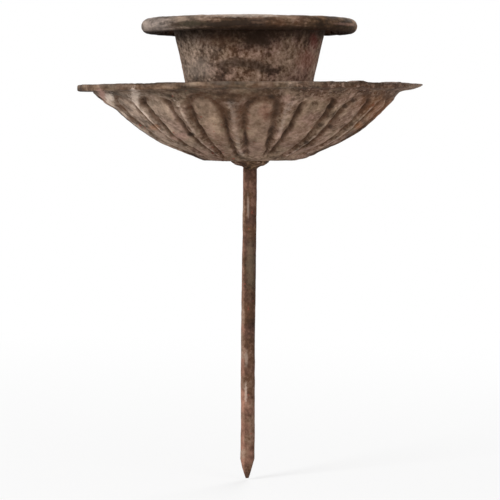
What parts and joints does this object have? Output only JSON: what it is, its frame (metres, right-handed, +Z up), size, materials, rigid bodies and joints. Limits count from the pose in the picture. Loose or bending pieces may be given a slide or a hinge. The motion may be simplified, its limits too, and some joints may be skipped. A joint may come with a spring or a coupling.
{
  "type": "taper candle holder",
  "caption": "Sheet-metal cup with a rolled flange on a petalled drip pan, held up by a pointed spike that pushes into a wreath or flower foam.",
  "frame": {"origin": "on the axis, in the plane of the drip pan's flat underside, where the spike leaves it", "axes": "+Z up along the spike, from its point towards the cup's mouth; the part is round about Z"},
  "size_m": [0.0884, 0.0884, 0.1187],
  "materials": {
    "pan_metal": "matt rust-effect coat, dark in the grooves and worn pale on the petals",
    "cup_metal": "matt rust-effect coat with dark smudges and reddish spots",
    "wire_metal": "dull steel wire",
    "washer_metal": "matt rust-effect coat",
    "spike_metal": "thin rust-effect coat over drawn wire",
    "weld_metal": "dark, rough weld under the same coat"
  },
  "bodies": {
    "root": {"drip_pan": "pan_metal", "candle_cup": "cup_metal", "rim_wire": "wire_metal", "head_washer": "washer_metal", "nail_spike": "spike_metal", "weld_bead": "weld_metal"}
  },
  "joints": []
}
